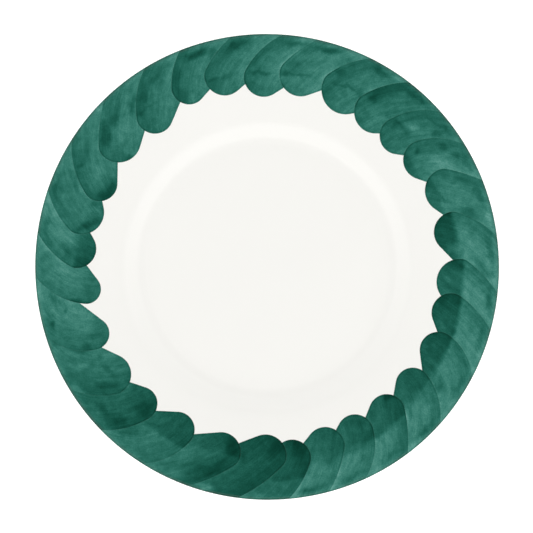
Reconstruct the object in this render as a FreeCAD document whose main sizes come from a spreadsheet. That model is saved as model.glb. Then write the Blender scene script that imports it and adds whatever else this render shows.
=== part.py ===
import FreeCAD, Part
import math
import os
import Sketcher

# A rimmed china dinner plate, 280 mm across, with a border of overlapping green brush strokes.
#
# The plate is built up in the order in which it is made:
#   bisque_body         the fired clay, turned as one solid with its foot ring
#   glaze_coat          the white glaze over the face, round the lip and down to the foot ring
#   foot_recess_glaze   the separate patch of glaze inside the foot ring
#   brush_stroke_NN     the paint, one thin piece for each stroke, on top of the glaze
# The foot ring's lowest part is wiped clean, so the plate stands on bare clay.
#
# Frame: +Z up and the origin at the centre of the foot ring's standing face, in millimetres.
# Stroke angles are counted like a clock's hands: 0 at +Y, growing clockwise seen from above.

# Driving dimensions, in mm and degrees.  Radii are measured from the plate's axis.
DIMENSIONS = {
    "plate_radius": 140.0,      # at the lip, outside the glaze
    "glaze_coat": 0.3,
    "paint_coat": 0.12,
    "floor_top": 8.2,           # height of the clay floor's upper face
    "recess_top": 3.2,          # height of the clay inside the foot ring
    "floor_radius": 76.5,       # where the flat floor meets the slope
    "slope_angle": 25.0,
    "brow_radius": 87.8,        # where the slope meets the rim
    "rim_angle": 10.0,
    "rim_wall": 4.4,            # upright thickness of the rim
    "lip_wall": 4.0,            # upright thickness at the lip
    "under_shift": 2.5,         # how far out the underside's brow lies from the upper one
    "foot_outer": 73.0,
    "foot_inner": 69.0,
    "foot_draft": 0.8,          # how much wider the foot is where it joins the floor
    "floor_blend": 16.0,
    "brow_blend": 26.0,
    "lip_round": 1.85,
    "foot_blend": 3.0,
    "foot_round": 1.2,
    "bare_foot": 1.2,           # height up to which the glaze is wiped off
    "stroke_shoulder": 8.5,     # radius of the turn from a stroke's tip into its left edge
    "stroke_run_off": 143.0,    # radius at which the stroke outlines close, past the lip
    "margin": 5.0,              # how far the cutting shapes reach past the plate
}

# The 30 brush strokes, in the order in which each one overlaps the one before it.  A stroke has a
# round tip, a tight shoulder on its left, a left edge that bows outward and a straight right edge.
#   angle  where the tip points, on the clock
#   reach  radius of the tip, the stroke's innermost point
#   width  across the round tip
#   lean   direction in which the left edge leaves the shoulder, clockwise from straight outward
#   bow    radius of the left edge
#   flare  direction of the right edge, clockwise from straight outward
STROKE_COLUMNS = ("angle", "reach", "width", "lean", "bow", "flare")
STROKES = (
    (359.0, 102.5, 24.0, 30.0, 50.0, 59.0),
    (10.0, 104.5, 26.0, 35.0, 70.0, 61.0),
    (24.0, 102.0, 29.5, 31.0, 50.0, 57.0),
    (35.0, 101.0, 26.0, 25.0, 56.0, 57.0),
    (45.0, 100.5, 22.5, 14.0, 42.0, 54.0),
    (55.5, 102.0, 24.0, 15.0, 37.0, 54.0),
    (67.0, 104.5, 27.0, 35.0, 110.0, 58.0),
    (79.5, 102.5, 25.0, 26.0, 50.0, 56.0),
    (94.5, 102.5, 28.0, 34.0, 80.0, 56.0),
    (104.0, 102.5, 23.5, 22.0, 60.0, 56.0),
    (116.0, 103.5, 22.5, 10.0, 33.0, 57.0),
    (129.0, 102.5, 21.0, 14.0, 40.0, 62.0),
    (140.5, 102.5, 22.0, 28.0, 100.0, 62.0),
    (152.0, 102.0, 22.0, 13.0, 38.0, 58.0),
    (162.0, 102.0, 23.5, 27.0, 75.0, 57.0),
    (172.5, 105.0, 22.5, 25.0, 55.0, 68.0),
    (180.5, 101.0, 25.5, 44.0, 90.0, 69.0),
    (194.0, 103.0, 24.0, 43.0, 85.0, 72.0),
    (209.0, 101.3, 21.5, 13.0, 40.0, 64.0),
    (222.8, 102.0, 20.5, 15.0, 47.0, 66.0),
    (235.5, 102.0, 25.0, 23.0, 46.0, 60.0),
    (249.0, 102.5, 19.5, 6.0, 33.0, 58.0),
    (263.0, 101.0, 18.0, 12.0, 42.0, 60.0),
    (275.5, 103.5, 23.5, 26.0, 52.0, 56.0),
    (286.5, 103.0, 27.0, 31.0, 52.0, 62.0),
    (296.5, 102.0, 21.5, 30.0, 50.0, 65.0),
    (310.5, 104.0, 27.0, 49.0, 100.0, 67.0),
    (323.5, 102.5, 22.5, 29.0, 52.0, 60.0),
    (336.5, 107.5, 21.0, 22.0, 46.0, 65.0),
    (347.5, 106.0, 24.5, 39.0, 62.0, 62.0),
)

# Corners of the plate's half section, as (radius, height), anticlockwise from the axis.
LIP_RADIUS = "sheet.plate_radius - sheet.glaze_coat"
BROW_TOP = "(sheet.floor_top + (sheet.brow_radius - sheet.floor_radius) * tan(sheet.slope_angle))"
LIP_TOP = "(" + BROW_TOP + " + (" + LIP_RADIUS + " - sheet.brow_radius) * tan(sheet.rim_angle))"
SECTION = {
    "recess_centre": ("0", "sheet.recess_top"),
    "recess_corner": ("sheet.foot_inner - sheet.foot_draft", "sheet.recess_top"),
    "foot_inside": ("sheet.foot_inner", "0"),
    "foot_outside": ("sheet.foot_outer", "0"),
    "foot_root": ("sheet.foot_outer + sheet.foot_draft", "sheet.recess_top"),
    "under_brow": ("sheet.brow_radius + sheet.under_shift", BROW_TOP + " - sheet.rim_wall"),
    "lip_bottom": (LIP_RADIUS, LIP_TOP + " - sheet.lip_wall"),
    "lip_top": (LIP_RADIUS, LIP_TOP),
    "brow": ("sheet.brow_radius", BROW_TOP),
    "floor_edge": ("sheet.floor_radius", "sheet.floor_top"),
    "floor_centre": ("0", "sheet.floor_top"),
}

# Which corners are rounded, and by which dimension of the sheet.
ROUNDINGS = (
    ("floor_edge", "floor_blend"),
    ("brow", "brow_blend"),
    ("under_brow", "brow_blend"),
    ("lip_top", "lip_round"),
    ("lip_bottom", "lip_round"),
    ("foot_root", "foot_blend"),
    ("foot_outside", "foot_round"),
    ("foot_inside", "foot_round"),
    ("recess_corner", "foot_round"),
)


def stroke_alias(number, column):
    """Name of the sheet cell that holds one size of one stroke."""
    return "stroke_%02d_%s" % (number, column)


def fill_sheet(doc):
    """Spreadsheet with the plate's dimensions in column B and the strokes in D to J."""
    sheet = doc.addObject("Spreadsheet::Sheet", "sheet")
    for row, (name, value) in enumerate(DIMENSIONS.items(), start=1):
        sheet.set("A%d" % row, name)
        sheet.set("B%d" % row, str(value))
        sheet.setAlias("B%d" % row, name)
    for number, sizes in enumerate(STROKES, start=1):
        sheet.set("D%d" % number, "stroke %d" % number)
        for letter, column, value in zip("EFGHIJ", STROKE_COLUMNS, sizes):
            cell = "%s%d" % (letter, number)
            sheet.set(cell, str(value))
            sheet.setAlias(cell, stroke_alias(number, column))
    doc.recompute()
    return sheet


def size(sheet, expression):
    """Present value of an expression, as a plain number."""
    value = sheet.evalExpression(expression.replace("sheet.", ""))
    return float(getattr(value, "Value", value))


def origin_plane(body, role):
    """One of a body's own base planes."""
    return next(plane for plane in body.Origin.OriginFeatures if plane.Role == role)


def new_sketch(body, name, role):
    """Empty sketch on one of a body's base planes."""
    sketch = body.newObject("Sketcher::SketchObject", name)
    sketch.AttachmentSupport = [(origin_plane(body, role), "")]
    sketch.MapMode = "FlatFace"
    return sketch


def constrain(sketch, expression, *constraint):
    """Adds a sketch dimension and binds it to an expression of the sheet."""
    index = sketch.addConstraint(Sketcher.Constraint(*constraint))
    sketch.setExpression("Constraints[%d]" % index, expression)


def round_corner(body, sheet, base, corner, dimension):
    """Rounds the ring edge that a corner of the section turns into."""
    radius, height = [size(sheet, text) for text in SECTION[corner]]
    names = []
    for index, edge in enumerate(base.Shape.Edges, start=1):
        curve = edge.Curve
        if not isinstance(curve, Part.Circle):
            continue
        if abs(curve.Radius - radius) < 0.01 and abs(curve.Center.z - height) < 0.01:
            names.append("Edge%d" % index)
    fillet = body.newObject("PartDesign::Fillet", corner + "_rounding")
    fillet.Base = (base, names)
    fillet.setExpression("Radius", "sheet." + dimension)
    body.Document.recompute()
    return fillet


def make_bisque_body(doc, sheet):
    """The clay: the half section turned about the axis, with its corners rounded."""
    body = doc.addObject("PartDesign::Body", "bisque_body")
    body.Label = "bisque_body"
    sketch = new_sketch(body, "half_section", "XZ_Plane")
    corners = [[size(sheet, text) for text in pair] for pair in SECTION.values()]
    for index, start in enumerate(corners):
        end = corners[(index + 1) % len(corners)]
        sketch.addGeometry(Part.LineSegment(FreeCAD.Vector(*start), FreeCAD.Vector(*end)))
    for index in range(len(corners)):
        following = (index + 1) % len(corners)
        sketch.addConstraint(Sketcher.Constraint("Coincident", index, 2, following, 1))
    for index, (across, up) in enumerate(SECTION.values()):
        if across == "0":
            sketch.addConstraint(Sketcher.Constraint("PointOnObject", index, 1, -2))
        else:
            constrain(sketch, across, "DistanceX", -1, 1, index, 1, corners[index][0])
        if up == "0":
            sketch.addConstraint(Sketcher.Constraint("PointOnObject", index, 1, -1))
        else:
            constrain(sketch, up, "DistanceY", -1, 1, index, 1, corners[index][1])
    turned = body.newObject("PartDesign::Revolution", "turned_clay")
    turned.Profile = sketch
    turned.ReferenceAxis = (sketch, ["V_Axis"])
    turned.Angle = 360.0
    doc.recompute()
    last = turned
    for corner, dimension in ROUNDINGS:
        last = round_corner(body, sheet, last, corner, dimension)
    return body


def make_coat(doc, name, body, thickness):
    """The clay grown outward on every side by an expression of the sheet."""
    coat = doc.addObject("Part::Offset", name)
    coat.Source = body
    coat.Mode = "Skin"
    coat.Join = "Arc"
    coat.setExpression("Value", thickness)
    return coat


def make_boolean(doc, kind, name, base, tool):
    """Part::Cut or Part::Common of two objects."""
    result = doc.addObject("Part::" + kind, name)
    result.Label = name
    result.Base = base
    result.Tool = tool
    return result


def make_foot_zone(doc, name, radius, top):
    """A cylinder round the axis, from the margin below the foot up to a height."""
    zone = doc.addObject("Part::Cylinder", name)
    zone.setExpression("Radius", radius)
    zone.setExpression("Height", "sheet.margin + " + top)
    zone.setExpression("Placement.Base.z", "-sheet.margin")
    return zone


def make_glaze(doc, body, glazed):
    """The white glaze: the face's coat and the patch inside the foot ring."""
    dipped = make_boolean(doc, "Cut", "dipped_glaze", glazed, body)
    wiped = make_foot_zone(doc, "wiped_zone", "sheet.foot_outer + sheet.margin", "sheet.bare_foot")
    glaze = make_boolean(doc, "Cut", "wiped_glaze", dipped, wiped)
    middle = "(sheet.foot_inner + sheet.foot_outer) / 2"
    inside = make_foot_zone(doc, "recess_zone", middle, "(sheet.recess_top + sheet.floor_top) / 2")
    coat = make_boolean(doc, "Cut", "glaze_coat", glaze, inside)
    recess = make_boolean(doc, "Common", "foot_recess_glaze", glaze, inside)
    return coat, recess


def make_paint_band(doc, glazed, painted):
    """A ring of paint all over the rim's upper side, from the slope to the lip's middle."""
    film = make_boolean(doc, "Cut", "paint_film", painted, glazed)
    above = doc.addObject("Part::Cone", "above_the_rim")
    middle_in = "(" + BROW_TOP + " - sheet.rim_wall / 2)"
    middle_out = "(" + LIP_TOP + " - sheet.lip_wall / 2)"
    above.setExpression("Radius1", "sheet.brow_radius")
    above.setExpression("Radius2", "sheet.brow_radius + 2 * (" + LIP_RADIUS + " - sheet.brow_radius)")
    above.setExpression("Height", "2 * (" + middle_out + " - " + middle_in + ")")
    above.setExpression("Placement.Base.z", middle_in)
    return make_boolean(doc, "Common", "paint_band", film, above)


def direction(clockwise):
    """Unit vector at an angle in degrees, clockwise from +Y."""
    return FreeCAD.Vector(math.sin(math.radians(clockwise)), math.cos(math.radians(clockwise)))


def run_out(start, heading, radius):
    """Where a straight line from a point meets a circle round the axis."""
    along = start.dot(heading)
    return start + heading * (math.sqrt(radius ** 2 - start.dot(start) + along ** 2) - along)


def left_meeting(centre, bow, radius):
    """Where a circle about a point meets a circle round the axis, left of the line between their centres."""
    apart = centre.Length
    outward = centre / apart
    along = (radius ** 2 - bow ** 2 + apart ** 2) / (2 * apart)
    aside = math.sqrt(radius ** 2 - along ** 2)
    return outward * along + FreeCAD.Vector(-outward.y, outward.x) * aside


def arc(centre, start, end):
    """Anticlockwise arc from one point to another."""
    begins = math.atan2(start.y - centre.y, start.x - centre.x)
    ends = math.atan2(end.y - centre.y, end.x - centre.x)
    if ends < begins:
        ends += 2 * math.pi
    circle = Part.Circle(centre, FreeCAD.Vector(0, 0, 1), start.distanceToPoint(centre))
    return Part.ArcOfCircle(circle, begins, ends)


def draw_outline(sketch, cells, sheet):
    """A stroke's outline with its tip on the Y axis: tip, right edge, outside, left edge, shoulder."""
    reach, width, lean, bow, flare = [size(sheet, cells[name]) for name in STROKE_COLUMNS[1:]]
    turn = size(sheet, "sheet.stroke_shoulder")
    run_off = size(sheet, "sheet.stroke_run_off")
    origin = FreeCAD.Vector()
    centre = FreeCAD.Vector(0, reach + width / 2)
    side = FreeCAD.Vector(-width / 2, centre.y)
    turn_centre = side + FreeCAD.Vector(turn, 0)
    right = centre + direction(flare + 90) * (width / 2)
    left = turn_centre + direction(lean - 90) * turn
    bow_centre = left + direction(lean + 90) * bow
    right_end = run_out(right, direction(flare), run_off)
    left_end = left_meeting(bow_centre, bow, run_off)
    tip = sketch.addGeometry(arc(centre, side, right))
    right_edge = sketch.addGeometry(Part.LineSegment(right, right_end))
    outside = sketch.addGeometry(arc(origin, right_end, left_end))
    left_edge = sketch.addGeometry(arc(bow_centre, left_end, left))
    shoulder = sketch.addGeometry(arc(turn_centre, left, side))
    sketch.addConstraint(Sketcher.Constraint("Tangent", tip, 2, right_edge, 1))
    sketch.addConstraint(Sketcher.Constraint("Coincident", right_edge, 2, outside, 1))
    sketch.addConstraint(Sketcher.Constraint("Coincident", outside, 2, left_edge, 1))
    sketch.addConstraint(Sketcher.Constraint("Tangent", left_edge, 2, shoulder, 1))
    sketch.addConstraint(Sketcher.Constraint("Tangent", shoulder, 2, tip, 1))
    sketch.addConstraint(Sketcher.Constraint("PointOnObject", tip, 3, -2))
    sketch.addConstraint(Sketcher.Constraint("Horizontal", tip, 3, tip, 1))
    sketch.addConstraint(Sketcher.Constraint("Coincident", outside, 3, -1, 1))
    half_width = cells["width"] + " / 2"
    constrain(sketch, cells["reach"] + " + " + half_width, "DistanceY", -1, 1, tip, 3, centre.y)
    constrain(sketch, half_width, "Radius", tip, width / 2)
    constrain(sketch, "sheet.stroke_shoulder", "Radius", shoulder, turn)
    constrain(sketch, "sheet.stroke_run_off", "Radius", outside, run_off)
    constrain(sketch, cells["bow"], "Radius", left_edge, bow)
    constrain(sketch, cells["lean"] + " * 1 deg", "Angle", shoulder, math.radians(lean))
    upward = "90 deg - " + cells["flare"] + " * 1 deg"
    constrain(sketch, upward, "Angle", right_edge, math.radians(90 - flare))


def make_outline(doc, sheet, number):
    """One brush stroke's outline as a tall prism, turned to its place on the clock."""
    name = "outline_%02d" % number
    body = doc.addObject("PartDesign::Body", name)
    sketch = new_sketch(body, name + "_sketch", "XY_Plane")
    cells = {column: "sheet." + stroke_alias(number, column) for column in STROKE_COLUMNS}
    draw_outline(sketch, cells, sheet)
    prism = body.newObject("PartDesign::Pad", name + "_prism")
    prism.Profile = sketch
    prism.setExpression("Length", LIP_TOP + " + sheet.margin")
    turn = "rotation(vector(0; 0; 1); -" + cells["angle"] + ")"
    body.setExpression("Placement", "placement(vector(0; 0; 0); " + turn + ")")
    return body


def make_brush_strokes(doc, sheet, band):
    """The paint: each stroke's own outline, less what the next stroke covers."""
    outlines = [make_outline(doc, sheet, number) for number in range(1, len(STROKES) + 1)]
    strokes = []
    for index, outline in enumerate(outlines):
        name = "brush_stroke_%02d" % (index + 1)
        covering = outlines[(index + 1) % len(outlines)]
        whole = make_boolean(doc, "Common", name + "_whole", band, outline)
        strokes.append(make_boolean(doc, "Cut", name, whole, covering))
    return strokes


def check(doc, parts):
    """Stops the build if a feature failed or a sub-part isn't one valid solid."""
    for item in doc.Objects:
        if "Invalid" in item.State or "Error" in item.State:
            raise RuntimeError("%s failed: %s" % (item.Label, item.State))
    for part in parts:
        shape = part.Shape
        if shape.isNull() or not shape.isValid():
            raise RuntimeError("%s has no valid shape" % part.Label)
        if len(shape.Solids) != 1:
            raise RuntimeError("%s has %d solids" % (part.Label, len(shape.Solids)))
        print("%-20s %10.3f mm3" % (part.Label, shape.Volume))


def main():
    doc = FreeCAD.newDocument("dinner_plate")
    sheet = fill_sheet(doc)
    body = make_bisque_body(doc, sheet)
    glazed = make_coat(doc, "glazed_plate", body, "sheet.glaze_coat")
    painted = make_coat(doc, "painted_plate", body, "sheet.glaze_coat + sheet.paint_coat")
    coat, recess = make_glaze(doc, body, glazed)
    band = make_paint_band(doc, glazed, painted)
    strokes = make_brush_strokes(doc, sheet, band)
    doc.recompute()
    parts = [body, coat, recess] + strokes
    check(doc, parts)
    os.makedirs("parts", exist_ok=True)
    for part in parts:
        part.Shape.exportStep("parts/%s.step" % part.Label)


main()
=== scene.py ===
import math

import bpy
import numpy as np
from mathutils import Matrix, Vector, noise
from mathutils.geometry import delaunay_2d_cdt


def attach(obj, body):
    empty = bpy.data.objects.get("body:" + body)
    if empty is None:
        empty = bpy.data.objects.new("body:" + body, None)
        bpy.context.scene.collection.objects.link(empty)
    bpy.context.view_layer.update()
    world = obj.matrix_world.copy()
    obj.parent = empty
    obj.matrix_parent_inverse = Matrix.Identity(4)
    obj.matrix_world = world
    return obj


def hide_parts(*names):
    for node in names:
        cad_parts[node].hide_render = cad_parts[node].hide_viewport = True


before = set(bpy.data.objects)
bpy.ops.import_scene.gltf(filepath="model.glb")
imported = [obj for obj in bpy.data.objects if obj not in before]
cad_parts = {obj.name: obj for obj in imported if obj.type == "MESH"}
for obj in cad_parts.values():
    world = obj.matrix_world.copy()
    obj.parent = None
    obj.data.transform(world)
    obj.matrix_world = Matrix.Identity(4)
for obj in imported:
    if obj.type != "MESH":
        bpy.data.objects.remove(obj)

# The looks of a hand-painted china dinner plate, seen from straight above.
#
# The clay body and the white glaze are turned again as fine smooth surfaces, a little out of round as
# a thrown plate is.  Each brush stroke becomes a thin film of paint with soft raised edges, and
# carries the density of its wash from point to point.
#
# Lengths are in mm until a mesh is made, and in metres for the materials, the light and the camera.
# Clock angles start at +Y and grow clockwise from above.

MM = 0.001
SAME_POINT = 3              # decimals of a mm to which two points agree when they are one
SEAM_TOLERANCE = 0.002      # how near to the plane y = 0 a point of the seam lies
LEVEL = 0.99999             # cosine of the slope under which a triangle counts as level
STRAIGHT = 2.0              # a step this much longer than the next one is a straight stretch
ROUND_SEGMENTS = 360        # segments round a turned surface
LONGEST_STEP = 2.5          # between two rings of a turned surface
SHARPEST_TURN = 5.0         # degrees between two rings of a turned surface
DISC_STEP = 14.0            # between two rings of a flat disc
RIM_STEP, RIM_TURN = 0.2, 1.0           # mm and degrees between two rows of the unrolled rim

# How the lip strays from a circle: number of waves round it, height of a wave, clock angle of a crest.
WAVES = ((2, 0.38, 162.0), (4, 0.27, 46.0))
WAVES_START, WAVES_END = 95.0, 135.0    # radii between which the straying grows to its full size

OUTLINE_STEP = 0.6          # longest step along a stroke's outline
EDGE_ROWS = (0.12, 0.26, 0.44)          # how deep the rows of points along its edge lie
ROW_CLEARANCE = 0.8         # share of its depth that such a point keeps from the whole outline
LATTICE = 0.75              # spacing of the points inside a stroke
LATTICE_ROW = LATTICE * math.sqrt(0.75)     # spacing of their rows, for triangles with even sides
LATTICE_CLEARANCE = LATTICE / 3         # how much deeper than the deepest row they start
TRIANGLES_INSIDE, SNAP = 1, 1e-5        # what a triangulation gives, and how close points merge in it
FAR_AWAY = 100.0            # distance from an edge that a stroke hasn't got
NO_LENGTH = 1e-12           # least square of an edge's length to divide by
PAINT_EDGE = 0.42           # width over which a free edge of paint rises to its full thickness
LIP_FADE = 0.15             # width over which it thins out where it ends at the lip
PAINT_SINK = 0.05           # how far the paint's edge reaches into the glaze
PAINT_BOTTOM = 0.07         # how deep the film's hidden underside lies in the glaze
UNDERLAP = 0.4              # how far a stroke goes on under the next one
RIDGE_HEIGHT, RIDGE_PLACE = 0.05, 0.3   # of the low ridge of paint, and how far inside the edge it is
SHARED_EDGE = 0.05          # nearer than this, two outlines are the same edge
BRUSH_STRIDE = 37.0         # how far apart two strokes lie in the noise that draws their streaks

# How dense the paint lies in each stroke, from 0 for none to about 2.4 for the darkest pools.
#   body, tip    density up the middle of the stroke, and in its round tip
#   step, soft   radius at which the one turns into the other, and over what width
#   lap          how much darker it is along its left edge, where it lies over the stroke before
#   pale         how much the paint thins towards the next stroke
#   crown        how much darker the pool is where the left edge meets the lip
# Then its own pools and thin places: clock angle, radius, half length, half width, direction of the
# length clockwise from straight outward, and the change of density.
WASHES = (
    (1.31, 1.34, 116.3, 0.9, 0.20, 0.20, 0.45, (
        (358.5, 117.2, 7.0, 0.9, 92, 0.42),)),
    (1.26, 1.24, 116.0, 1.0, 0.05, 0.05, 0.50, (
        (5.2, 117.0, 2.5, 1.6, 80, 0.40),
        (9.5, 117.4, 6.5, 0.8, 84, 0.38),
        (8.0, 121.5, 5.0, 3.0, 40, 0.20),
        (21.0, 132.5, 6.0, 2.5, 45, 0.30))),
    (1.38, 1.38, 119.0, 1.0, 0.10, 0.05, 0.40, (
        (20.8, 125.5, 3.0, 2.2, 40, 0.25),
        (20.5, 119.0, 2.2, 1.6, 80, 0.20),
        (24.0, 118.9, 7.5, 0.7, 88, 0.34),
        (28.5, 120.5, 3.2, 2.6, 50, 0.40))),
    (1.51, 1.36, 119.0, 1.5, 0.20, 0.00, 0.40, (
        (31.8, 120.0, 2.8, 2.0, 60, 0.30),
        (33.0, 125.0, 6.0, 2.8, 45, 0.20),
        (30.5, 108.0, 4.0, 4.0, 0, -0.22),
        (38.8, 116.5, 2.8, 2.2, 60, 0.35),
        (38.0, 129.0, 7.0, 2.5, 48, -0.20))),
    (1.46, 1.46, 118.0, 1.0, 0.00, 0.05, 0.20, (
        (45.0, 116.2, 9.0, 1.4, 90, 0.24),
        (42.0, 116.3, 2.6, 1.8, 90, 0.25),
        (46.5, 121.5, 5.0, 2.4, 75, -0.35),
        (52.5, 131.0, 4.0, 1.8, 45, 0.30),
        (48.5, 133.5, 6.0, 1.2, 80, 0.22))),
    (1.31, 1.54, 107.8, 1.4, 0.15, 0.15, 0.20, (
        (52.8, 115.0, 2.4, 2.0, 0, 0.50),
        (55.5, 129.5, 4.0, 2.5, 60, 0.30),
        (58.8, 131.5, 3.0, 2.0, 40, 0.35),
        (58.0, 122.0, 7.0, 3.0, 35, -0.20),
        (54.5, 104.5, 5.0, 1.2, 90, 0.15))),
    (1.24, 1.51, 112.5, 1.2, 0.15, -0.05, 0.30, (
        (66.0, 130.5, 6.0, 3.0, 45, 0.20),
        (68.0, 112.6, 6.0, 0.8, 90, 0.22),
        (74.8, 126.0, 8.0, 3.6, 42, 0.42),
        (77.5, 137.0, 2.5, 2.0, 45, -0.30))),
    (1.14, 1.88, 115.7, 2.8, 0.15, -0.05, 0.30, (
        (77.3, 117.5, 3.2, 2.5, 10, 0.25),
        (86.0, 117.5, 3.0, 1.8, 90, 0.20),
        (90.5, 129.0, 8.0, 3.0, 42, 0.32),
        (84.5, 112.0, 3.0, 2.5, 30, -0.35))),
    (1.10, 1.61, 119.0, 1.6, 0.20, -0.14, 0.35, (
        (90.2, 118.2, 2.2, 1.6, 50, 0.30),
        (97.0, 113.0, 5.0, 3.0, 0, 0.20),
        (91.5, 123.0, 5.0, 1.8, 42, 0.10))),
    (1.14, 1.82, 119.2, 2.0, 0.18, -0.16, 0.30, (
        (109.5, 119.0, 3.5, 1.5, 90, 0.35),
        (108.0, 111.0, 3.0, 2.5, 20, -0.30))),
    (1.22, 1.80, 119.3, 2.4, 0.10, 0.00, 0.15, (
        (118.5, 106.0, 6.0, 2.0, 88, -0.14),
        (124.0, 125.0, 7.0, 2.8, 44, 0.42),
        (116.0, 133.5, 4.0, 0.5, 40, 0.20),
        (115.2, 134.5, 4.0, 0.5, 40, -0.20))),
    (1.27, 1.67, 119.0, 2.5, 0.05, 0.22, 0.35, (
        (127.5, 117.0, 3.0, 3.0, 0, 0.08),
        (135.8, 122.0, 4.0, 1.8, 42, 0.28),
        (141.0, 135.0, 4.0, 2.0, 50, 0.25),
        (132.0, 129.0, 7.0, 3.0, 42, -0.12))),
    (1.25, 1.66, 121.3, 1.8, 0.20, 0.10, 0.25, (
        (136.6, 107.5, 3.0, 1.2, 120, 0.35),
        (147.0, 122.0, 3.2, 2.0, 60, 0.32),
        (142.5, 126.0, 5.0, 2.0, 45, -0.10))),
    (1.25, 1.68, 121.5, 3.5, 0.00, 0.15, 0.25, (
        (149.5, 121.0, 4.0, 3.0, 50, 0.22),
        (157.5, 122.0, 3.0, 2.0, 60, 0.25),
        (148.5, 110.5, 2.5, 2.5, 0, 0.10))),
    (1.20, 1.60, 120.5, 4.0, 0.08, -0.05, 0.30, (
        (161.5, 121.5, 4.5, 2.6, 85, 0.25),
        (168.0, 124.0, 6.0, 1.6, 34, 0.18),
        (170.0, 138.0, 5.0, 2.6, 88, 0.35))),
    (1.50, 1.84, 129.3, 1.5, 0.05, 0.05, 0.05, (
        (181.0, 133.0, 6.0, 3.0, 70, 0.25),
        (170.0, 110.0, 8.0, 6.0, 0, 0.45))),
    (1.80, 1.97, 113.0, 4.0, 0.10, 0.10, -0.10, (
        (177.3, 110.0, 6.0, 4.0, 20, 0.30),
        (187.5, 115.0, 4.0, 2.5, 0, 0.25),
        (195.5, 137.0, 5.0, 2.8, 88, -0.60))),
    (1.51, 1.74, 116.2, 1.4, 0.25, 0.05, -0.15, (
        (195.0, 125.0, 11.0, 4.5, 46, 0.46),
        (199.5, 128.5, 5.0, 2.5, 40, 0.25),
        (191.0, 111.5, 5.0, 4.0, 10, 0.42))),
    (1.36, 1.72, 120.0, 1.6, 0.05, -0.10, 0.00, (
        (216.0, 117.0, 5.0, 0.8, 88, 0.15),
        (220.0, 129.0, 7.0, 3.0, 42, 0.40))),
    (1.64, 1.71, 118.0, 3.0, 0.15, -0.05, -0.15, (
        (220.8, 113.0, 5.0, 3.5, 20, 0.35),
        (223.8, 129.0, 5.0, 2.6, 60, 0.30),
        (229.0, 131.0, 5.0, 2.3, 92, 0.25),
        (232.8, 126.0, 5.0, 2.5, 42, 0.30),
        (221.8, 123.0, 3.0, 2.0, 0, -0.20),
        (225.0, 137.5, 8.0, 2.0, 90, -0.30))),
    (1.40, 1.38, 112.2, 1.0, 0.15, -0.10, 0.00, (
        (233.5, 122.0, 8.0, 2.5, 38, 0.32),
        (237.0, 114.3, 9.0, 1.7, 90, 0.25),
        (242.0, 126.0, 4.5, 2.4, 0, -0.22),
        (246.3, 125.0, 7.0, 1.8, 36, 0.30),
        (237.0, 136.5, 5.0, 2.8, 88, -0.45))),
    (1.21, 1.34, 110.0, 3.0, 0.15, -0.05, 0.15, (
        (246.0, 118.0, 3.2, 2.5, 60, 0.30),
        (248.5, 113.0, 4.5, 3.0, 0, 0.25),
        (255.0, 134.0, 1.8, 1.1, 90, 0.50),
        (257.4, 125.0, 1.5, 1.2, 0, 0.40),
        (262.0, 131.0, 6.0, 2.8, 48, 0.30),
        (252.0, 129.0, 5.0, 3.0, 30, 0.10))),
    (1.22, 1.44, 112.0, 4.0, 0.08, 0.10, 0.05, (
        (259.0, 117.0, 8.0, 2.0, 8, 0.38),
        (272.0, 132.0, 5.0, 3.0, 48, 0.22))),
    (1.21, 1.74, 117.0, 2.8, 0.12, 0.05, 0.20, (
        (274.5, 121.5, 5.0, 3.0, 60, 0.32),
        (278.5, 127.0, 6.0, 2.6, 30, -0.15))),
    (1.33, 1.46, 112.0, 3.0, 0.00, 0.00, 0.10, (
        (283.0, 112.0, 8.0, 2.6, 135, 0.45),
        (295.0, 130.0, 7.0, 2.2, 46, 0.25),
        (290.5, 110.8, 3.0, 1.6, 0, 0.30),
        (290.5, 136.5, 5.0, 2.4, 88, 0.22),
        (290.0, 132.5, 4.0, 1.6, 80, 0.20))),
    (1.34, 1.46, 112.0, 3.0, 0.12, 0.00, 0.05, (
        (294.5, 107.0, 6.0, 3.5, 120, 0.52),
        (298.0, 105.0, 4.0, 2.0, 80, 0.30),
        (298.0, 128.8, 1.6, 1.4, 60, 0.35),
        (303.0, 129.4, 5.5, 1.8, 80, 0.30),
        (307.5, 127.0, 3.5, 1.6, 45, 0.30),
        (304.0, 135.5, 7.0, 2.6, 88, -0.14),
        (299.5, 118.0, 6.0, 4.0, 30, -0.12))),
    (1.31, 1.32, 110.0, 2.0, 0.10, -0.05, 0.05, (
        (309.5, 125.5, 7.0, 2.8, 52, 0.45),
        (314.5, 129.0, 6.0, 3.2, 55, 0.36),
        (307.8, 107.0, 3.0, 2.0, 110, 0.35),
        (320.5, 126.5, 6.0, 2.2, 42, 0.38),
        (312.5, 135.0, 5.0, 3.0, 70, -0.16),
        (313.0, 117.5, 6.0, 4.0, 50, -0.12))),
    (1.36, 1.36, 119.5, 1.0, 0.12, 0.05, 0.15, (
        (320.3, 120.0, 3.0, 1.6, 75, 0.32),
        (323.5, 126.0, 6.0, 3.0, 50, 0.30),
        (329.0, 132.0, 5.0, 2.0, 66, 0.34),
        (326.0, 136.5, 4.0, 1.8, 50, -0.25),
        (323.0, 119.6, 7.0, 0.6, 92, 0.20))),
    (1.39, 1.38, 115.0, 1.4, 0.22, 0.05, 0.10, (
        (333.0, 119.0, 2.4, 1.8, 0, 0.20),
        (337.5, 110.5, 5.0, 2.6, 88, -0.14),
        (345.8, 133.0, 5.0, 1.8, 30, 0.28),
        (334.5, 128.0, 7.0, 2.0, 35, 0.22),
        (342.0, 135.0, 6.5, 2.2, 84, 0.52))),
    (1.36, 1.34, 115.6, 0.9, 0.15, 0.12, 0.15, (
        (344.0, 117.0, 4.0, 1.6, 88, 0.32),
        (348.8, 117.6, 5.0, 1.8, 88, 0.22),
        (352.0, 135.0, 8.0, 2.2, 70, 0.40))),
)
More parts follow.
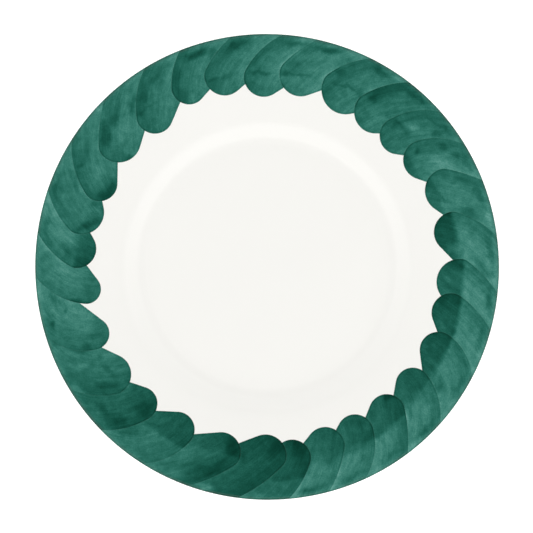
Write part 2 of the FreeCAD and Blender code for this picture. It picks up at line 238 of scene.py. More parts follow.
SIDE_SLOPE = 0.14           # how much denser the left side of a stroke is than its middle
LAP_WIDTH, PALE_WIDTH = 6.5, 3.2        # how far in from the edges the lap and the pale side reach
PALE_START, PALE_RUN = 112.0, 10.0      # radius where the pale side starts, and what it takes to grow
STEP_SPREAD = 2.0           # how much softer the step is at a stroke's right side
CROWN_SIZE = (7.5, 2.0, 84) # half length, half width and direction of the crown pool
CROWN_INSET = (8.0, 5.4)    # of the crown pool's middle from the left edge and from the lip
POOL_EDGE = 1.35            # 1 for a pool that fades all the way, more for a flat one with a short edge
POOL_WANDER = ((2.2, 8.0), (1.0, 2.6))  # how far the pools stray, and over what distances
STEP_WANDER = ((0.9, 12.0), (0.25, 3.0))    # the same for the step
BOWED_FROM = 122.0          # flat radius beyond which the left edge of a stroke is one arc
LINE_START, LINE_END = 117.0, 133.0     # flat radii between which its dark line fades away
LINE_UNEVEN, LINE_PATCH = 0.9, 4.0      # how patchy that line is, and over what length
WANDER_SEED = 5             # makes the pools and steps stray in the same way on every run
THINNEST = 0.45             # the least density anywhere in a stroke


def smooth(value):
    """Smooth step from 0 to 1 while the value goes from 0 to 1."""
    value = np.clip(value, 0, 1)
    return value * value * (3 - 2 * value)


# ---- Reading the CAD nodes ----

def merged_mesh(name):
    """A CAD node's points in mm with doubles joined, and its triangles."""
    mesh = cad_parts[name].data
    points = np.empty(len(mesh.vertices) * 3)
    mesh.vertices.foreach_get("co", points)
    corners = np.empty(len(mesh.loops), int)
    mesh.loops.foreach_get("vertex_index", corners)
    points, same = np.unique(np.round(points.reshape(-1, 3) / MM, SAME_POINT), axis=0,
                             return_inverse=True)
    return points, same.reshape(-1)[corners].reshape(-1, 3)


def walk(links, start):
    """The points met from a start by following each point's only new neighbour."""
    path = [start]
    seen = {start}
    while True:
        ahead = [point for point in links[path[-1]] if point not in seen]
        if not ahead:
            return path
        path.append(ahead[0])
        seen.add(ahead[0])


def section_chains(name):
    """The curves that a turned node's seam follows, the highest first, as radius and height.

    The seam lies in the plane y = 0, and each curve starts at its higher end.
    """
    points, triangles = merged_mesh(name)
    on_seam = (np.abs(points[:, 1]) < SEAM_TOLERANCE) & (points[:, 0] > 0)
    sides = points[triangles[:, 1:]] - points[triangles[:, :1]]
    normals = np.cross(sides[:, 0], sides[:, 1])
    level = np.abs(normals[:, 2]) > LEVEL * np.linalg.norm(normals, axis=1)
    links = {}
    for triangle in triangles[(on_seam[triangles].sum(axis=1) == 2) & ~level]:
        first, second = triangle[on_seam[triangle]]
        links.setdefault(first, set()).add(second)
        links.setdefault(second, set()).add(first)
    chains = []
    while links:
        ends = [point for point in links if len(links[point]) == 1]
        path = walk(links, max(ends, key=lambda point: points[point, 2]))
        for point in path:
            del links[point]
        chains.append(points[path][:, [0, 2]])
    return sorted(chains, key=lambda chain: -chain[0, 1])


def tangents(chain):
    """Direction of a chain of arcs and straight stretches at each of its points."""
    steps = np.diff(chain, axis=0)
    lengths = np.linalg.norm(steps, axis=1)
    ahead = steps / lengths[:, None]
    result = np.empty_like(chain)
    for index in range(1, len(chain) - 1):
        before, after = lengths[index - 1], lengths[index]
        if before > STRAIGHT * after:
            result[index] = ahead[index - 1]
        elif after > STRAIGHT * before:
            result[index] = ahead[index]
        else:
            result[index] = after * ahead[index - 1] + before * ahead[index]
    result[0] = 2 * (ahead[0] @ result[1]) * ahead[0] - result[1]
    result[-1] = 2 * (ahead[-1] @ result[-2]) * ahead[-1] - result[-2]
    return result / np.linalg.norm(result, axis=1)[:, None]


def smooth_chain(chain, longest, turn):
    """More points along a chain, each with its normal: radius, height and the normal's two parts.

    No step is longer than the longest, and none bends by more degrees than the turn.
    """
    points = [chain[0]]
    directions = tangents(chain)
    facing = [directions[0]]
    for index in range(len(chain) - 1):
        start, end = chain[index:index + 2]
        leaving, arriving = directions[index:index + 2]
        length = np.linalg.norm(end - start)
        bend = math.degrees(math.acos(min(1.0, leaving @ arriving)))
        count = max(math.ceil(length / longest), math.ceil(bend / turn), 1)
        for step in range(1, count + 1):
            t = step / count
            points.append((1 + 2 * t) * (1 - t) ** 2 * start + t * (1 - t) ** 2 * length * leaving
                          + t * t * (3 - 2 * t) * end - t * t * (1 - t) * length * arriving)
            facing.append((1 - t) * leaving + t * arriving)
    facing = np.array(facing) / np.linalg.norm(facing, axis=1)[:, None]
    return np.column_stack([points, -facing[:, 1], facing[:, 0]])


class Rim:
    """The glaze's upper side in section, unrolled: every point of it has a flat radius.

    On the straight rim the flat radius grows as fast as the surface goes outward, so that shapes
    keep their size, and it goes on growing round the lip.
    """

    ANCHOR = 100.0              # radius at which the flat radius is the true one

    def __init__(self, chain):
        self.rows = smooth_chain(chain, RIM_STEP, RIM_TURN)
        steps = np.linalg.norm(np.diff(self.rows[:, :2], axis=0), axis=1)
        along = np.concatenate([[0], np.cumsum(steps)])
        lip = int(np.argmax(self.rows[:, 0]))
        shift = self.ANCHOR - np.interp(self.ANCHOR, self.rows[:lip, 0], along[:lip])
        self.flat = along + shift

    def locate(self, radius, height):
        """Flat radius of points, and how far they stand off the glaze."""
        aside = radius[:, None] - self.rows[None, :, 0]
        above = height[:, None] - self.rows[None, :, 1]
        nearest = np.argmin(aside ** 2 + above ** 2, axis=1)
        picks = np.arange(len(radius))
        normal = self.rows[nearest, 2:]
        off = aside[picks, nearest] * normal[:, 0] + above[picks, nearest] * normal[:, 1]
        onward = aside[picks, nearest] * normal[:, 1] - above[picks, nearest] * normal[:, 0]
        return self.flat[nearest] + onward, off

    def place(self, flat, lift):
        """Radius and height of points that stand off the glaze by a lift."""
        radius, height, across, up = [np.interp(flat, self.flat, column) for column in self.rows.T]
        return radius + lift * across, height + lift * up


def out_of_round(radius, clock):
    """The plate's radius where the lip strays from a circle; the middle stays round."""
    reach = smooth((radius - WAVES_START) / (WAVES_END - WAVES_START))
    strayed_by = [height * np.cos(count * (clock - math.radians(crest)))
                  for count, height, crest in WAVES]
    return radius + reach * sum(strayed_by)


# ---- Making meshes ----

def new_piece(name, points, faces, replaced, material):
    """A smooth piece, from points in mm, that stands for a CAD node."""
    mesh = bpy.data.meshes.new(name)
    mesh.from_pydata((np.asarray(points) * MM).tolist(), [], faces)
    mesh.validate()
    mesh.shade_smooth()
    piece = bpy.data.objects.new(name, mesh)
    bpy.context.scene.collection.objects.link(piece)
    mesh.materials.append(material)
    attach(piece, "root")
    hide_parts(replaced)
    return piece


def rings_inward(radius):
    """Radii of the rings of a flat disc inside a radius."""
    count = max(1, round(radius / DISC_STEP))
    return [radius * (count - step) / count for step in range(1, count)]


def turned_rows(name):
    """A turned node's closed section, from the axis round to the axis, as radius and height."""
    upper, lower = [smooth_chain(chain, LONGEST_STEP, SHARPEST_TURN) for chain in section_chains(name)]
    top_disc = [(radius, upper[0, 1]) for radius in rings_inward(upper[0, 0])]
    bottom_disc = [(radius, lower[0, 1]) for radius in rings_inward(lower[0, 0])]
    rows = top_disc[::-1] + [tuple(row[:2]) for row in upper]
    rows += [tuple(row[:2]) for row in lower[::-1]] + bottom_disc
    return upper[0, 1], rows, lower[0, 1]


def make_turned(name, piece_name, material):
    """A turned node as one fine closed surface, a little out of round."""
    top, rows, bottom = turned_rows(name)
    clock = np.arange(ROUND_SEGMENTS) * 2 * math.pi / ROUND_SEGMENTS
    points = [[0, 0, top]]
    for radius, height in rows:
        reach = out_of_round(np.full(ROUND_SEGMENTS, radius), clock)
        ring = [reach * np.sin(clock), reach * np.cos(clock), np.full(ROUND_SEGMENTS, height)]
        points.extend(np.transpose(ring).tolist())
    points.append([0, 0, bottom])
    faces = []
    for segment in range(ROUND_SEGMENTS):
        beside = (segment + 1) % ROUND_SEGMENTS
        faces.append((0, 1 + beside, 1 + segment))
        for row in range(len(rows) - 1):
            inner = 1 + row * ROUND_SEGMENTS
            outer = inner + ROUND_SEGMENTS
            faces.append((inner + segment, inner + beside, outer + beside, outer + segment))
        last = 1 + (len(rows) - 1) * ROUND_SEGMENTS
        faces.append((last + segment, last + beside, len(points) - 1))
    return new_piece(piece_name, points, faces, name, material)


def distance(points, starts, ends):
    """How far each point is from the nearest of some straight edges."""
    if len(starts) == 0:
        return np.full(len(points), FAR_AWAY)
    run = ends - starts
    offset = points[:, None, :] - starts[None, :, :]
    share = (offset * run).sum(axis=2) / np.maximum((run ** 2).sum(axis=1), NO_LENGTH)
    nearest = offset - np.clip(share, 0, 1)[:, :, None] * run
    return np.sqrt((nearest ** 2).sum(axis=2)).min(axis=1)


def inside(points, outline):
    """Which points lie inside a closed outline."""
    following = np.roll(outline, -1, axis=0)
    x, y = points[:, :1], points[:, 1:]
    spans = (outline[:, 1] > y) != (following[:, 1] > y)
    rise = np.where(following[:, 1] == outline[:, 1], 1.0, following[:, 1] - outline[:, 1])
    crossing = outline[:, 0] + (y - outline[:, 1]) * (following[:, 0] - outline[:, 0]) / rise
    return (spans & (x < crossing)).sum(axis=1) % 2 == 1


def stroke_outline(name, rim):
    """A stroke's outline on the unrolled rim, anticlockwise, with steps of even length."""
    points, triangles = merged_mesh(name)
    flat, lift = rim.locate(np.hypot(points[:, 0], points[:, 1]), points[:, 2])
    top = triangles[(lift[triangles] > lift.max() / 2).all(axis=1)]
    edges = np.concatenate([top[:, [0, 1]], top[:, [1, 2]], top[:, [2, 0]]]).tolist()
    known = {tuple(edge) for edge in edges}
    following = {start: end for start, end in edges if (end, start) not in known}
    loop = [min(following, key=lambda point: flat[point])]
    while following[loop[-1]] != loop[0]:
        loop.append(following[loop[-1]])
    clock = np.arctan2(points[loop, 0], points[loop, 1])
    corners = np.transpose([flat[loop] * np.sin(clock), flat[loop] * np.cos(clock)])
    outline = []
    for start, end in zip(corners, np.roll(corners, -1, axis=0)):
        count = max(1, math.ceil(np.linalg.norm(end - start) / OUTLINE_STEP))
        outline.extend(start + (end - start) * step / count for step in range(count))
    return np.array(outline)


def make_rise(gap, width):
    """Rounded rise from 0 at an edge to 1 at a width from it."""
    return np.sin(np.clip(gap / width, 0, 1) * math.pi / 2)


def make_ridge(gap):
    """Low ridge of paint just inside an edge."""
    share = gap / RIDGE_PLACE
    return RIDGE_HEIGHT * share * np.exp(1 - share)


def circle_through(first, second, third):
    """Centre and radius of the circle through three points."""
    sides = 2 * np.array([second - first, third - first])
    centre = np.linalg.solve(sides, [second @ second - first @ first, third @ third - first @ first])
    return centre, np.linalg.norm(first - centre)


class Stroke:
    """One brush stroke on the unrolled rim: its outline, and which edge is which."""

    def __init__(self, outline, before, after, lip_flat):
        self.outline = outline
        following = np.roll(outline, -1, axis=0)
        middle = (outline + following) / 2
        laps = distance(middle, before, np.roll(before, -1, axis=0)) < SHARED_EDGE
        covered = distance(middle, after, np.roll(after, -1, axis=0)) < SHARED_EDGE
        lip = np.hypot(*middle.T) > lip_flat - SHARED_EDGE
        free = ~(laps | covered | lip)
        self.edges = {"left": laps, "next": covered, "free": free}
        self.covered_point = covered | np.roll(covered, 1)
        self.lip_flat = lip_flat
        side = outline[laps & (np.hypot(*outline.T) > BOWED_FROM)]
        side = side[np.argsort(np.hypot(*side.T))]
        self.crown = side[-1]
        self.bow_centre, self.bow = circle_through(side[0], side[len(side) // 2], side[-1])
        inward = np.array([-(following - outline)[:, 1], (following - outline)[:, 0]])
        inward = (inward / np.linalg.norm(inward, axis=0)).T
        inward = inward + np.roll(inward, 1, axis=0)
        self.inward = inward / np.linalg.norm(inward, axis=1)[:, None]

    def brushed(self, points):
        """Points along and across the brush's path, which runs beside the left edge."""
        arm = points - self.bow_centre
        start = self.crown - self.bow_centre
        turn = np.arctan2(arm @ np.array([start[1], -start[0]]), arm @ start)
        return self.bow - np.hypot(*arm.T), self.bow * turn

    def gap(self, kind, points):
        """Distance of points from one kind of edge."""
        chosen = self.edges[kind]
        return distance(points, self.outline[chosen], np.roll(self.outline, -1, axis=0)[chosen])

    def fill(self):
        """Points inside the outline: rows along its edge, then an even lattice."""
        following = np.roll(self.outline, -1, axis=0)
        rows = []
        for depth in EDGE_ROWS:
            row = self.outline + self.inward * depth
            clear = distance(row, self.outline, following) > ROW_CLEARANCE * depth
            rows.append(row[clear & inside(row, self.outline)])
        low, high = self.outline.min(axis=0), self.outline.max(axis=0)
        across = np.arange(low[0], high[0], LATTICE)
        up = np.arange(low[1], high[1], LATTICE_ROW)
        grid = np.array([(x + (row % 2) * LATTICE / 2, y) for row, y in enumerate(up) for x in across])
        grid = grid[inside(grid, self.outline)]
        clear = distance(grid, self.outline, following) > EDGE_ROWS[-1] + LATTICE_CLEARANCE
        return np.concatenate(rows + [grid[clear]])

    def triangulate(self):
        """Points and triangles of the whole stroke, and which points lie under the next stroke."""
        under = self.covered_point[:, None] * UNDERLAP
        border = self.outline - self.inward * under
        tucked = self.outline[self.covered_point]
        points = np.concatenate([border, tucked, self.fill()])
        given = [Vector(point) for point in points]
        ring = list(range(len(border)))
        result = delaunay_2d_cdt(given, [], [ring], TRIANGLES_INSIDE, SNAP)
        corners, _, triangles, origins = result[:4]
        sources = [min(origin) if origin else len(border) for origin in origins]
        hidden = np.array([source < len(border) and self.covered_point[source] for source in sources])
        return np.array([tuple(corner) for corner in corners]), triangles, hidden


def pool(clock, radius, patch):
    """Density of one pool of paint, flat in its middle and soft at its edge."""
    at, out, length, width, turn, change = patch
    aside = radius * np.sin(clock - math.radians(at))
    ahead = radius * np.cos(clock - math.radians(at)) - out
    angle = math.radians(turn)
    along = (aside * math.sin(angle) + ahead * math.cos(angle)) / length
    across = (aside * math.cos(angle) - ahead * math.sin(angle)) / width
    return change * np.exp(-(along ** 2 + across ** 2) ** POOL_EDGE)


def strayed(points, number, wander):
    """Points moved about a little, so that what is drawn by them has a natural outline."""
    moved = points.copy()
    for reach, size in wander:
        drift = [noise.noise_vector(Vector((*(point / size), number))) for point in points]
        moved += reach * np.array([tuple(each) for each in drift])[:, :2]
    return moved


def line_strength(points, number):
    """How strong the line is along a left edge: strong at the tip, patchy, and gone near the lip."""
    share = smooth((LINE_END - np.hypot(*points.T)) / (LINE_END - LINE_START))
    patchy = [noise.noise(Vector((*(point / LINE_PATCH), number))) for point in points]
    return share * np.maximum(1 + LINE_UNEVEN * np.array(patchy), 0)


def wash_density(stroke, wash, points, number):
    """How dense the paint lies at points of a stroke."""
    body, tip, step, soft, lap, pale, crown, patches = wash
    step_radius = np.hypot(*strayed(points, number, STEP_WANDER).T)
    left, right = stroke.gap("left", points), stroke.gap("next", points)
    side = left / (left + right)
    softness = soft * (1 + STEP_SPREAD * side)
    density = body + (tip - body) * smooth((step - step_radius) / softness + 0.5)
    density += SIDE_SLOPE * (1 - 2 * side)
    wandered = strayed(points, number, POOL_WANDER)
    density += lap * np.exp(-(stroke.gap("left", wandered) / LAP_WIDTH) ** 2)
    density -= pale * np.exp(-right / PALE_WIDTH) * smooth((step_radius - PALE_START) / PALE_RUN)
    crown_radius = np.hypot(*stroke.crown) - CROWN_INSET[1]
    crown_clock = math.atan2(*stroke.crown) + CROWN_INSET[0] / crown_radius
    pools = patches + ((math.degrees(crown_clock), crown_radius, *CROWN_SIZE, crown),)
    radius = np.hypot(*wandered.T)
    clock = np.arctan2(wandered[:, 0], wandered[:, 1])
    for patch in pools:
        density += pool(clock, radius, patch)
    return np.maximum(density, THINNEST)


def make_stroke(name, number, stroke, rim, coat, material):
    """One stroke's film of paint, with its density and its distances from its edges."""
    points, triangles, hidden = stroke.triangulate()
    flat = np.hypot(*points.T)
    clock = np.arctan2(points[:, 0], points[:, 1])
    gaps = {kind: stroke.gap(kind, points) for kind in ("left", "next", "free")}
    before_lip = stroke.lip_flat - flat
    full = make_rise(gaps["free"], PAINT_EDGE) * make_rise(before_lip, LIP_FADE)
    line = line_strength(points, number)
    ridge = make_ridge(gaps["left"]) * line + make_ridge(gaps["free"])
    lift = (coat + PAINT_SINK) * full + ridge * make_rise(before_lip, LIP_FADE) - PAINT_SINK
    lift[hidden] = -PAINT_SINK / 2
    layers = []
    for height in (lift, np.full(len(flat), -PAINT_BOTTOM)):
        radius, up = rim.place(flat, height)
        radius = out_of_round(radius, clock)
        layers.append(np.transpose([radius * np.sin(clock), radius * np.cos(clock), up]))
    count = len(points)
    known = {(face[i], face[i - 2]) for face in triangles for i in range(3)}
    border = [edge for edge in known if (edge[1], edge[0]) not in known]
    faces = [tuple(face) for face in triangles]
    faces += [tuple(corner + count for corner in reversed(face)) for face in triangles]
    faces += [(end, start, start + count, end + count) for start, end in sorted(border)]
    piece = new_piece("paint_" + name[-2:], np.concatenate(layers), faces, name, material)
    brushed = np.transpose([*stroke.brushed(points), np.full(count, number * BRUSH_STRIDE)])
    values = {"wash": wash_density(stroke, WASHES[number - 1], points, number), "line": line,
              "left_mm": gaps["left"], "free_mm": gaps["free"], "lip_mm": before_lip}
    for label, value in values.items():
        attribute = piece.data.attributes.new(label, "FLOAT", "POINT")
        attribute.data.foreach_set("value", np.tile(value, 2))
    attribute = piece.data.attributes.new("brushed_mm", "FLOAT_VECTOR", "POINT")
    attribute.data.foreach_set("vector", np.tile(brushed, (2, 1)).ravel())
    return piece


# ---- Materials ----

class Nodes:
    """Short way to write a material's or a world's node tree."""

    def __init__(self, owner):
        owner.use_nodes = True
        self.owner = owner
        self.tree = owner.node_tree
        self.tree.nodes.clear()

    def add(self, kind, inputs=None, **settings):
        """A node with its settings, and with its inputs set or linked."""
        node = self.tree.nodes.new(kind)
        for key, value in settings.items():
            setattr(node, key, value)
        for key, value in (inputs or {}).items():
            if isinstance(value, bpy.types.NodeSocket):
                self.tree.links.new(value, node.inputs[key])
            else:
                node.inputs[key].default_value = value
        return node

    def math(self, operation, first, second=0.0, third=0.0):
        """Output of a math node."""
        node = self.add("ShaderNodeMath", {0: first, 1: second, 2: third}, operation=operation)
        return node.outputs[0]

    def speckle(self, place, scale, detail, size):
        """Noise round 0, with peaks of about half the size."""
        inputs = {"Vector": place, "Scale": scale, "Detail": detail}
        value = self.add("ShaderNodeTexNoise", inputs).outputs["Fac"]
        return self.math("MULTIPLY_ADD", value, size, -size / 2)

    def attribute(self, name, output="Fac"):
        """A value stored in the mesh."""
        return self.add("ShaderNodeAttribute", attribute_name=name).outputs[output]

    def object_place(self):
        """Position in the object's own frame, in metres."""
        return self.add("ShaderNodeTexCoord").outputs["Object"]

    def stretched(self, place, scale):
        """A position scaled along each axis."""
        return self.add("ShaderNodeVectorMath", {0: place, 1: scale}, operation="MULTIPLY").outputs[0]

    def surface(self, height, distance_m, strength, **inputs):
        """Principled surface with a bump, joined to the material's output."""
        bump_inputs = {"Height": height, "Distance": distance_m, "Strength": strength}
        bump = self.add("ShaderNodeBump", bump_inputs).outputs[0]
        shader = self.add("ShaderNodeBsdfPrincipled", {**inputs, "Normal": bump})
        self.add("ShaderNodeOutputMaterial", {"Surface": shader.outputs[0]})
        return shader


# Each noise has a scale, a detail and a size, and each bump a depth and a strength.
GLASS_IOR = 1.5
GLAZE_WHITE = (0.885, 0.878, 0.845)
GLAZE_CLOUD = (28.0, 2.0, 0.016)
GLAZE_RIPPLE = (90.0, 2.0, 1.0)
GLAZE_PEEL = (900.0, 1.0, 0.12)
GLAZE_SHEEN = (200.0, 2.0, 0.05)
GLAZE_ROUGHNESS = 0.14
GLAZE_GLOSS = 0.3                       # strength of its reflection, where plain glass has 0.5
GLAZE_BUMP = (0.00006, 0.6)
SPECK_SCALE, SPECK_SIZE, SPECK_DEPTH = 55.0, 0.011, 0.12    # size as a share of their spacing

CLAY_COLOUR = (0.80, 0.74, 0.64)
CLAY_GRAIN = (1400.0, 4.0, 0.16)
CLAY_STAIN = (60.0, 3.0, 0.14)
CLAY_ROUGHNESS = 0.85
CLAY_BUMP = (0.0002, 0.8)

COPPER_GREEN = (2.58, 1.28, 1.45)       # how strongly the paint takes out red, green and blue
BROAD_STREAKS = (0.35, 0.045, 0.58)     # scale across and along the brush, per mm, and size
FINE_STREAKS = (1.3, 0.07, 0.36)
STREAK_DETAIL = 3.0
PAINT_MOTTLE = (240.0, 4.0, 0.58)
PAINT_GRAIN = (1300.0, 2.0, 0.50)
# Lines of paint: distance from the edge and half width in mm, and how much denser they are.
LEFT_LINE = (0.45, 0.42, 0.26)
FREE_LINE = (0.75, 0.45, 0.14)
# Painted shade: a darker line of paint along the lip's outer edge, where the lip turns down away from
# the light.
LIP_SHADE_LINE = (0.0, 1.6, 0.5)
# Partly paint thinning where it breaks over the lip, partly a painted highlight: a paler band along the
# lip's crest.
LIP_THIN_AND_HIGHLIGHT_BAND = (3.4, 1.0, -0.10)
PAINT_ROUGHNESS, PAINT_UNEVEN = 0.16, 0.2
PAINT_GLOSS = 0.34
DULL_LIP = (0.6, 3.5)                   # mm from the lip between which that gloss sets in
PAINT_BUMP = (0.00004, 0.5)


def glaze_material():
    """Warm white glaze: glossy, faintly uneven, with a few pinhead specks."""
    nodes = Nodes(bpy.data.materials.new("white_glaze"))
    place = nodes.object_place()
    cloud = nodes.speckle(place, *GLAZE_CLOUD)
    specks = nodes.add("ShaderNodeTexVoronoi", {"Vector": place, "Scale": SPECK_SCALE})
    near = nodes.math("LESS_THAN", specks.outputs["Distance"], SPECK_SIZE)
    plain = nodes.math("ADD", cloud, 1.0)
    tone = nodes.math("SUBTRACT", plain, nodes.math("MULTIPLY", near, SPECK_DEPTH))
    colour = nodes.add("ShaderNodeVectorMath", {0: GLAZE_WHITE, 3: tone}, operation="SCALE")
    ripple = nodes.speckle(place, *GLAZE_RIPPLE)
    peel = nodes.speckle(place, *GLAZE_PEEL)
    roughness = nodes.math("ADD", nodes.speckle(place, *GLAZE_SHEEN), GLAZE_ROUGHNESS)
    inputs = {"Base Color": colour.outputs[0], "Roughness": roughness, "IOR": GLASS_IOR,
              "Specular IOR Level": GLAZE_GLOSS}
    nodes.surface(nodes.math("ADD", ripple, peel), *GLAZE_BUMP, **inputs)
    return nodes.owner


def clay_material():
    """Unglazed fired clay: matte, sandy, with darker grains."""
    nodes = Nodes(bpy.data.materials.new("bisque"))
    place = nodes.object_place()
    grain = nodes.speckle(place, *CLAY_GRAIN)
    stain = nodes.speckle(place, *CLAY_STAIN)
    tone = nodes.math("ADD", nodes.math("ADD", grain, stain), 1.0)
    colour = nodes.add("ShaderNodeVectorMath", {0: CLAY_COLOUR, 3: tone}, operation="SCALE")
    roughness = nodes.math("ADD", stain, CLAY_ROUGHNESS)
    inputs = {"Base Color": colour.outputs[0], "Roughness": roughness}
    nodes.surface(grain, *CLAY_BUMP, **inputs)
    return nodes.owner


def streaks(nodes, brushed, across, along, size):
    """Noise drawn out along the brush's path."""
    return nodes.speckle(nodes.stretched(brushed, (across, along, 1.0)), 1.0, STREAK_DETAIL, size)


def edge_line(nodes, gap, place, width, strength):
    """Line of thicker or thinner paint at a distance from an edge."""
    off = nodes.math("DIVIDE", nodes.math("SUBTRACT", gap, place), width)
    fall = nodes.math("EXPONENT", nodes.math("MULTIPLY", nodes.math("MULTIPLY", off, off), -1.0))
    return nodes.math("MULTIPLY", fall, strength)


def paint_material():
    """Green wash under a glossy glaze: its colour deepens with the density of the paint."""
    nodes = Nodes(bpy.data.materials.new("copper_green_wash"))
    brushed = nodes.attribute("brushed_mm", "Vector")
    place = nodes.object_place()
    broad = streaks(nodes, brushed, *BROAD_STREAKS)
    fine = streaks(nodes, brushed, *FINE_STREAKS)
    mottle = nodes.speckle(place, *PAINT_MOTTLE)
    grain = nodes.speckle(place, *PAINT_GRAIN)
    line = nodes.math("MULTIPLY", nodes.attribute("line"), LEFT_LINE[2])
    left_line = edge_line(nodes, nodes.attribute("left_mm"), *LEFT_LINE[:2], line)
    free_line = edge_line(nodes, nodes.attribute("free_mm"), *FREE_LINE)
    lip = nodes.attribute("lip_mm")
    # painted shade along the lip's outer edge
    lip_shade_line = edge_line(nodes, lip, *LIP_SHADE_LINE)
    # paler band on the lip's crest: thinner paint there, and partly a painted highlight
    lip_thin_and_highlight = edge_line(nodes, lip, *LIP_THIN_AND_HIGHLIGHT_BAND)
    texture = nodes.math("ADD", nodes.math("ADD", broad, fine), nodes.math("ADD", mottle, grain))
    edges = nodes.math("ADD", left_line, free_line)
    lines = nodes.math("ADD", edges, nodes.math("ADD", lip_shade_line, lip_thin_and_highlight))
    density = nodes.math("ADD", nodes.attribute("wash"), nodes.math("ADD", texture, lines))
    density = nodes.math("MAXIMUM", density, THINNEST)
    channels = []
    for white, strength in zip(GLAZE_WHITE, COPPER_GREEN):
        left_over = nodes.math("EXPONENT", nodes.math("MULTIPLY", density, -strength))
        channels.append(nodes.math("MULTIPLY", left_over, white))
    colour = nodes.add("ShaderNodeCombineColor", dict(enumerate(channels)))
    roughness = nodes.math("ADD", nodes.math("MULTIPLY", mottle, PAINT_UNEVEN), PAINT_ROUGHNESS)
    inputs = {0: lip, 1: DULL_LIP[0], 2: DULL_LIP[1], 3: 0.0, 4: PAINT_GLOSS}
    gloss = nodes.add("ShaderNodeMapRange", inputs).outputs[0]
    inputs = {"Base Color": colour.outputs[0], "Roughness": roughness, "IOR": GLASS_IOR,
              "Specular IOR Level": gloss}
    nodes.surface(texture, *PAINT_BUMP, **inputs)
    return nodes.owner


# ---- Floor, light and camera ----

CAMERA_HEIGHT = 1.6
CAMERA_ASIDE = (-0.36, 0.24)            # how far it stands off the plate's axis, in mm
FIELD = 0.32067             # width of the picture at the height of the lip
SENSOR = 36.0               # width of the camera's sensor, in mm as its lens is
FLOOR_HALF = 3.0            # half the floor's width
FLOOR_WHITE = (0.85, 0.85, 0.85, 1)
FLOOR_GLOW = 0.42           # light of its own, which keeps it even and pale
SKY = 2.15                  # brightness of the room's sides
SKY_LEAN = 0.14             # how much brighter it is on the side of the viewer's feet
HORIZON = 0.35              # the room's brightness near the floor, as a share of its sides
HORIZON_EDGE = (0.0, 0.5)   # cosines of the angles from overhead between which it gains on them
CEILING = 0.05              # brightness straight overhead
CEILING_EDGE = (0.72, 0.88) # cosines of the angles from overhead between which it comes in
# Softboxes: clock angle, angle from overhead, width, height and power.
SOFTBOXES = ((128.0, 50.0, 1.1, 0.34, 0.75), (238.0, 50.0, 1.0, 0.34, 0.6))
SOFTBOX_DISTANCE = 1.3      # from the plate's middle


def make_floor():
    """Plain pale floor, seen from above only, so that the plate's foot can be seen from below."""
    corners = [(x * FLOOR_HALF, y * FLOOR_HALF, 0) for x, y in ((-1, -1), (1, -1), (1, 1), (-1, 1))]
    mesh = bpy.data.meshes.new("floor")
    mesh.from_pydata(corners, [], [(0, 1, 2, 3)])
    floor = bpy.data.objects.new("floor", mesh)
    bpy.context.scene.collection.objects.link(floor)
    nodes = Nodes(bpy.data.materials.new("floor"))
    paper = nodes.add("ShaderNodeBsdfDiffuse", {"Color": FLOOR_WHITE})
    glow = nodes.add("ShaderNodeEmission", {"Strength": FLOOR_GLOW})
    lit = nodes.add("ShaderNodeAddShader", {0: paper.outputs[0], 1: glow.outputs[0]})
    clear = nodes.add("ShaderNodeBsdfTransparent")
    behind = nodes.add("ShaderNodeNewGeometry").outputs["Backfacing"]
    inputs = {0: behind, 1: lit.outputs[0], 2: clear.outputs[0]}
    surface = nodes.add("ShaderNodeMixShader", inputs)
    nodes.add("ShaderNodeOutputMaterial", {"Surface": surface.outputs[0]})
    mesh.materials.append(nodes.owner)


def make_room():
    """White room, dimmer near the floor, with a ceiling so dark that the paint shows no glare."""
    world = bpy.data.worlds.new("room")
    bpy.context.scene.world = world
    nodes = Nodes(world)
    ray = nodes.add("ShaderNodeTexCoord").outputs["Generated"]
    ray_parts = nodes.add("ShaderNodeSeparateXYZ", {0: ray})
    upward = ray_parts.outputs["Z"]
    inputs = {0: upward, 1: CEILING_EDGE[0], 2: CEILING_EDGE[1], 3: SKY, 4: CEILING}
    strength = nodes.add("ShaderNodeMapRange", inputs, interpolation_type="SMOOTHSTEP").outputs[0]
    lean = nodes.math("MULTIPLY_ADD", ray_parts.outputs["Y"], -SKY_LEAN, 1.0)
    inputs = {0: upward, 1: HORIZON_EDGE[0], 2: HORIZON_EDGE[1], 3: HORIZON, 4: 1.0}
    low = nodes.add("ShaderNodeMapRange", inputs, interpolation_type="SMOOTHSTEP").outputs[0]
    shade = nodes.math("MULTIPLY", lean, low)
    glow = nodes.add("ShaderNodeBackground", {"Strength": nodes.math("MULTIPLY", strength, shade)})
    nodes.add("ShaderNodeOutputWorld", {"Surface": glow.outputs[0]})


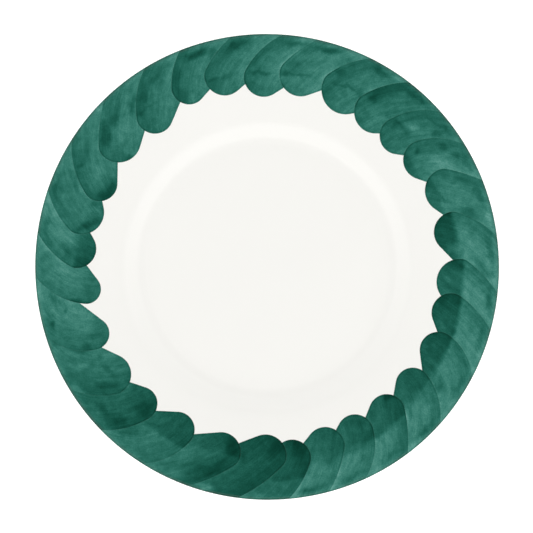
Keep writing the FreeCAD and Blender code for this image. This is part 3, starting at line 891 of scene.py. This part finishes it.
def make_softboxes():
    """Two wide soft lights, low on two sides, aimed at the plate."""
    for number, (clock, lean, width, height, power) in enumerate(SOFTBOXES):
        light = bpy.data.lights.new("softbox_%d" % number, "AREA")
        light.shape = "RECTANGLE"
        light.size = width
        light.size_y = height
        light.energy = power
        lamp = bpy.data.objects.new(light.name, light)
        bpy.context.scene.collection.objects.link(lamp)
        turn, tilt = math.radians(clock), math.radians(lean)
        aside = math.sin(tilt)
        toward = Vector((math.sin(turn) * aside, math.cos(turn) * aside, math.cos(tilt)))
        lamp.location = toward * SOFTBOX_DISTANCE
        lamp.rotation_euler = toward.to_track_quat("Z", "Y").to_euler()


def make_camera(lip_height):
    """Camera that looks straight down on the plate, with the top of the picture at +Y."""
    camera = bpy.data.cameras.new("camera")
    camera.sensor_width = SENSOR
    camera.lens = SENSOR * (CAMERA_HEIGHT - lip_height) / FIELD
    eye = bpy.data.objects.new("camera", camera)
    bpy.context.scene.collection.objects.link(eye)
    eye.location = (CAMERA_ASIDE[0] * MM, CAMERA_ASIDE[1] * MM, CAMERA_HEIGHT)
    bpy.context.scene.camera = eye


# ---- The scene ----

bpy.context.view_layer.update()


def main():
    """Everything in the scene: the plate's pieces, the floor, the light and the camera."""
    noise.seed_set(WANDER_SEED)
    glaze, clay, paint = glaze_material(), clay_material(), paint_material()
    make_turned("bisque_body", "clay_body", clay)
    make_turned("glaze_coat", "white_glaze", glaze)
    make_turned("foot_recess_glaze", "foot_glaze", glaze)
    rim = Rim(section_chains("glaze_coat")[0])
    names = sorted(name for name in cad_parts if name.startswith("brush_stroke_"))
    outlines = [stroke_outline(name, rim) for name in names]
    lip_flat = max(np.hypot(*outline.T).max() for outline in outlines)
    points = merged_mesh(names[0])[0]
    coat = rim.locate(np.hypot(points[:, 0], points[:, 1]), points[:, 2])[1].max()
    for index, name in enumerate(names):
        after = outlines[(index + 1) % len(names)]
        stroke = Stroke(outlines[index], outlines[index - 1], after, lip_flat)
        make_stroke(name, index + 1, stroke, rim, coat, paint)
    make_floor()
    make_room()
    make_softboxes()
    make_camera(rim.rows[np.argmax(rim.rows[:, 0]), 1] * MM)
    bpy.context.scene.view_settings.view_transform = "Standard"


main()
